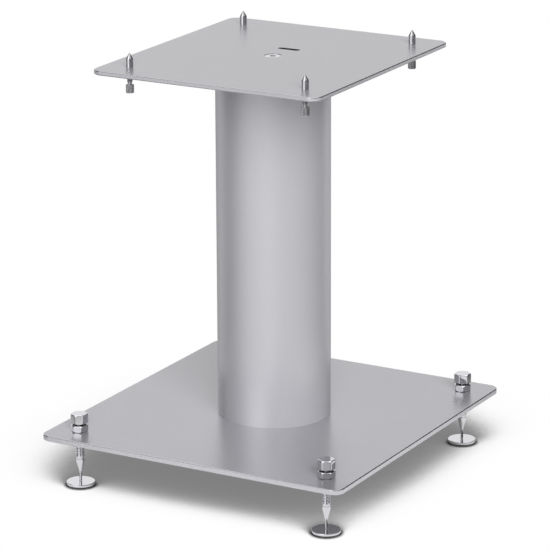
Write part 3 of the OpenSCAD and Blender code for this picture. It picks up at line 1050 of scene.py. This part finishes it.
class STAND_OT_spike_tips(bpy.types.Operator):
    """Model the four chromed tips on which the speaker stands"""

    bl_idname = "stand.spike_tips"
    bl_label = "Spike tips"

    def execute(self, context):
        sizes = context.scene.stand_tips
        low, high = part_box("spike_tip_front_left")
        radius = (high.x - low.x) / 2
        bore = sizes.spigot / 2 + context.scene.stand_plates.hole_gap
        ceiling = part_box("thumb_screw_front_left")[1].z + sizes.bore_room
        cone_low = high.z - sizes.cone
        tip = turned("chrome_tip", [
            (bore, ceiling), (bore, low.z), (radius - sizes.foot_bevel, low.z),
            (radius, low.z + sizes.foot_bevel), (radius, cone_low - sizes.shoulder),
            (radius - sizes.shoulder / 2, cone_low + sizes.shoulder * 2 / 3), (sizes.point / 2, high.z)])
        smooth(tip)
        set_out(tip, "spike_tip", "tip", "chrome", finish="turned_chrome")
        return {"FINISHED"}


class STAND_OT_thumb_screws(bpy.types.Operator):
    """Model the four thumb screws, with their threads and knurled grips"""

    bl_idname = "stand.thumb_screws"
    bl_label = "Thumb screws"

    def execute(self, context):
        sizes = context.scene.stand_tips
        low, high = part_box("thumb_screw_front_left")
        plate_low, plate_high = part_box("top_plate")
        grip, bevel = (high.x - low.x) / 2, sizes.grip_bevel
        rod, neck, spigot = sizes.thread / 2, sizes.neck / 2, sizes.spigot / 2
        neck_high = plate_low.z - sizes.thread_below
        grip_high = neck_high - sizes.neck_length
        thread_low, thread_high = neck_high + rod - neck, plate_high.z - sizes.thread_sunk
        screw = turned("knurled_screw", [
            (grip - bevel, low.z), *arc((grip - bevel, low.z + bevel), bevel, -60, 0, 4),
            *arc((grip - bevel, grip_high - bevel), bevel, 0, 80, 5), (neck, grip_high), (neck, neck_high),
            (rod, thread_low), (rod, thread_high), (spigot, thread_high),
            (spigot, high.z - sizes.spigot_bevel), (spigot - sizes.spigot_bevel, high.z)],
            steps=KNURL_FACETS * sizes.knurls)
        cut_thread(screw, thread_low, thread_high, sizes.pitch)
        knurl_low, knurl_high = low.z + bevel, grip_high - bevel
        add_rings(screw, knurl_low, knurl_high, KNURL_RING)
        diamond = math.tau * grip / sizes.knurls

        # Two sets of grooves cross each other and leave diamonds between them
        def knurling(angle, z):
            left = (angle * sizes.knurls / math.tau + (z - low.z) / diamond) % 1
            right = (angle * sizes.knurls / math.tau - (z - low.z) / diamond) % 1
            return sizes.knurl_depth * max(abs(2 * left - 1), abs(2 * right - 1)) ** 2
        press_in(screw, knurl_low, knurl_high, knurling)
        smooth(screw)
        set_out(screw, "thumb_screw", "thumb", "nickel")
        return {"FINISHED"}


# The studio

# The white cloth and the black flags round the stand that metal mirrors: degrees to the right of the camera,
# and brightness as a share of the softbox's
CLOTH = (
    (-180, 0.42), (-165, 0.45), (-150, 0.58), (-141, 0.25), (-132, 0.04), (-118, 0.10), (-108, 0.12),
    (-98, 0.02), (-84, 0.02), (-72, 0.10), (-56, 0.52), (-38, 0.82), (-26, 0.80), (-15, 0.35), (-5, 0.05),
    (8, 0.03), (60, 0.04), (88, 0.02), (150, 0.05), (163, 0.40), (180, 0.42))
# How much of the cloth, and of the lamp overhead, shows at each sine of the angle over the floor
CLOTH_HEIGHTS = ((0.0, 1.0), (0.74, 1.0), (0.8, 0.0))
OVERHEAD = ((0.74, 0.0), (0.8, 0.6))
# How bright the paper floor is in metal, again by degrees to the right of the camera
FLOOR_IN_METAL = (
    (-180, 0.50), (-160, 0.45), (-142, 0.55), (-130, 0.68), (-118, 0.48), (-105, 0.22), (-90, 0.08),
    (-72, 0.27), (-52, 0.48), (-30, 0.53), (-10, 0.60), (4, 0.46), (20, 0.33), (50, 0.24), (75, 0.12),
    (95, 0.03), (112, 0.05), (126, 0.42), (140, 0.50), (160, 0.45), (180, 0.50))
# The least brightness that it has in metal close to the stand, by metres from the column's axis
NEAR_STAND = ((0.27, 0.8), (0.4, 0.0))
# The stand's soft shadow on the floor: the share of its light that a spot still gets, and how far its colour
# has gone from the shadow's to the paper's
SHADOW_TONES = (
    (0.64, 0.0), (0.70, 0.02), (0.74, 0.05), (0.78, 0.15), (0.81, 0.33), (0.84, 0.65), (0.87, 0.88),
    (0.91, 0.97), (0.96, 1.0))
# Painted contact shadow beside a disc, which its rim mirrors: the share of the room that a spot sees, and its
# tone
CONTACT_TONES = ((0.45, 0.06), (0.8, 0.5), (0.97, 1.0))
# Width of the paper floor in metres, so wide that no view shows its end
FLOOR_WIDTH = 40
# Width of the camera's sensor in millimetres
SENSOR_WIDTH = 36


def by_azimuth(tree, direction, studio, tones):
    """Adds grey tones that change with the azimuth of a direction from the stand."""
    facing = add_node(tree, "ShaderNodeMapping", {"Rotation": (0, 0, math.pi / 2 - studio.azimuth)},
                      {"Vector": direction})
    # The gradient goes once round from 0 to 1 and is 0.5 towards the camera
    around = add_node(tree, "ShaderNodeTexGradient", links={"Vector": facing.outputs["Vector"]},
                      gradient_type="RADIAL")
    return ramp(tree, around.outputs["Fac"], greys((0.5 + side / 360, tone) for side, tone in tones))


def by_height(tree, direction, tones):
    """Adds grey tones that change with the sine of a direction's angle over the floor."""
    parts = add_node(tree, "ShaderNodeSeparateXYZ", links={"Vector": direction})
    return ramp(tree, parts.outputs["Z"], greys(tones))


def combine(tree, blend, first, second):
    """Adds a node that blends two colours, as by multiplying or adding them."""
    mixed = add_node(tree, "ShaderNodeMix", {"Factor": 1.0}, data_type="RGBA", blend_type=blend)
    tree.links.new(first, mixed.inputs["A"])
    tree.links.new(second, mixed.inputs["B"])
    return mixed.outputs["Result"]


def by_ray(tree, plain, seen, in_metal):
    """Adds the choice of what a ray meets.

    The camera and glass get one shader, metal another, and the light between matt surfaces a plain one."""
    path = add_node(tree, "ShaderNodeLightPath")
    direct = add_node(tree, "ShaderNodeMath", operation="MAXIMUM", links={
        0: path.outputs["Is Camera Ray"], 1: path.outputs["Is Transmission Ray"]})
    unlit = add_node(tree, "ShaderNodeMixShader", links={
        0: direct.outputs[0], 1: plain.outputs[0], 2: seen.outputs[0]})
    return add_node(tree, "ShaderNodeMixShader", links={
        0: path.outputs["Is Glossy Ray"], 1: unlit.outputs[0], 2: in_metal.outputs[0]})


def paper_floor(studio):
    """Material of the floor: white paper, grey where the stand shades it.

    The camera and the metal see its tone directly. It comes from how much the stand hides of the light that
    falls in low from the camera's side. In metal the floor is also darker in front of the black flags."""
    material = bpy.data.materials.new("studio paper")
    tree = empty_tree(material)
    towards = (Matrix.Rotation(studio.azimuth + studio.shadow_side, 3, "Z")
               @ Matrix.Rotation(studio.shadow_tilt, 3, "X"))
    light = add_node(tree, "ShaderNodeCombineXYZ", dict(zip("XYZ", towards @ Vector((0, 0, 1)))))
    lit = add_node(tree, "ShaderNodeAmbientOcclusion", {"Distance": studio.shadow_reach},
                   {"Normal": light.outputs["Vector"]}, samples=40)
    full, none = Vector(studio.shadow), Vector(studio.paper)
    shadow = ramp(tree, lit.outputs["AO"], [
        (share, tuple(full.lerp(none, gone))) for share, gone in SHADOW_TONES])
    beside = add_node(tree, "ShaderNodeAmbientOcclusion", {"Distance": studio.contact_reach}, samples=8)
    contact = ramp(tree, beside.outputs["AO"], [
        (share, shade_of(studio.paper, tone)) for share, tone in CONTACT_TONES])
    tone = combine(tree, "MULTIPLY", shadow, contact)
    seen = add_node(tree, "ShaderNodeEmission", links={"Color": tone})
    place = add_node(tree, "ShaderNodeTexCoord").outputs["Object"]
    distance = add_node(tree, "ShaderNodeVectorMath", links={"Vector": place}, operation="LENGTH")
    near_stand = ramp(tree, distance.outputs["Value"], greys(NEAR_STAND))
    tint = combine(tree, "LIGHTEN", by_azimuth(tree, place, studio, FLOOR_IN_METAL), near_stand)
    mirrored = combine(tree, "MULTIPLY", tone, tint)
    in_metal = add_node(tree, "ShaderNodeEmission", links={"Color": mirrored})
    plain = add_node(tree, "ShaderNodeBsdfDiffuse", {"Color": (*studio.paper, 1)})
    surface = by_ray(tree, plain, seen, in_metal)
    add_node(tree, "ShaderNodeOutputMaterial", links={"Surface": surface.outputs[0]})
    return material


def white_studio(studio):
    """The world: white as the paper, with the cloth, the flags and the overhead lamp that metal mirrors."""
    world = bpy.data.worlds.new("white studio")
    tree = empty_tree(world)
    direction = add_node(tree, "ShaderNodeTexCoord").outputs["Generated"]
    cloth = combine(tree, "MULTIPLY", by_azimuth(tree, direction, studio, CLOTH),
                    by_height(tree, direction, CLOTH_HEIGHTS))
    mirrored = combine(tree, "ADD", cloth, by_height(tree, direction, OVERHEAD))
    in_metal = add_node(tree, "ShaderNodeBackground", {"Strength": studio.softbox}, {"Color": mirrored})
    plain = add_node(tree, "ShaderNodeBackground",
                     {"Color": (*studio.paper, 1), "Strength": studio.room_light})
    seen = add_node(tree, "ShaderNodeBackground", {"Color": (*studio.paper, 1), "Strength": 1.0})
    surface = by_ray(tree, plain, seen, in_metal)
    add_node(tree, "ShaderNodeOutputWorld", links={"Surface": surface.outputs[0]})
    return world


class STAND_OT_stage(bpy.types.Operator):
    """Set up the paper floor, the light and the camera"""

    bl_idname = "stand.stage"
    bl_label = "Studio"

    def execute(self, context):
        scene = context.scene
        studio = scene.stand_studio
        scene.view_settings.view_transform = "Standard"
        bpy.ops.object.select_all(action="DESELECT")
        bpy.ops.mesh.primitive_plane_add(size=FLOOR_WIDTH)
        floor = named("paper_floor")
        floor.data.materials.append(paper_floor(studio))

        scene.world = white_studio(studio)
        lamp = bpy.data.lights.new("key light", "SUN")
        lamp.angle = studio.key_size
        # A sun of strength pi makes white paper that faces it as bright as 1
        lamp.energy = math.pi * studio.key_light
        key = bpy.data.objects.new("key_light", lamp)
        scene.collection.objects.link(key)
        key.matrix_world = (Matrix.Rotation(studio.azimuth + studio.key_side, 4, "Z")
                            @ Matrix.Rotation(math.pi / 2 - studio.key_height, 4, "X"))
        # Metal mirrors the cloth in its place
        key.visible_glossy = False

        turn = (Matrix.Rotation(studio.azimuth, 4, "Z")
                @ Matrix.Rotation(math.pi / 2 - studio.elevation, 4, "X")
                @ Matrix.Rotation(studio.roll, 4, "Z"))
        aim = Vector((0, 0, studio.aim_height)) + turn @ Vector((studio.aim_right, 0, 0))
        data = bpy.data.cameras.new("camera")
        data.sensor_width = SENSOR_WIDTH
        data.lens = studio.lens
        camera = bpy.data.objects.new("camera", data)
        scene.collection.objects.link(camera)
        camera.matrix_world = Matrix.Translation(aim + turn @ Vector((0, 0, studio.distance))) @ turn
        scene.camera = camera
        return {"FINISHED"}


OPERATORS = (STAND_OT_plates, STAND_OT_column, STAND_OT_flanges, STAND_OT_plate_screws, STAND_OT_floor_discs,
             STAND_OT_floor_spikes, STAND_OT_caps_and_nuts, STAND_OT_spike_tips, STAND_OT_thumb_screws,
             STAND_OT_stage)


class STAND_PT_panel(bpy.types.Panel):
    """Lists the stand's pieces and sizes in the 3D view's sidebar."""

    bl_label = "Speaker stand"
    bl_idname = "STAND_PT_panel"
    bl_space_type = "VIEW_3D"
    bl_region_type = "UI"
    bl_category = "Speaker stand"

    def draw(self, context):
        for operator in OPERATORS:
            self.layout.operator(operator.bl_idname)
        for holder, kind in SETTINGS.items():
            box = self.layout.box()
            for key in kind.__annotations__:
                box.prop(getattr(context.scene, holder), key)


def register():
    """Adds the stand's settings, operators and panel to Blender."""
    for kind in (*SETTINGS.values(), *OPERATORS, STAND_PT_panel):
        bpy.utils.register_class(kind)
    for holder, kind in SETTINGS.items():
        setattr(bpy.types.Scene, holder, PointerProperty(type=kind))


def unregister():
    """Takes them out again."""
    for holder in SETTINGS:
        delattr(bpy.types.Scene, holder)
    for kind in reversed((*SETTINGS.values(), *OPERATORS, STAND_PT_panel)):
        bpy.utils.unregister_class(kind)


def main():
    """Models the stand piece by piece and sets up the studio."""
    register()
    for operator in OPERATORS:
        group, name = operator.bl_idname.split(".")
        getattr(getattr(bpy.ops, group), name)()


if __name__ == "__main__":
    main()
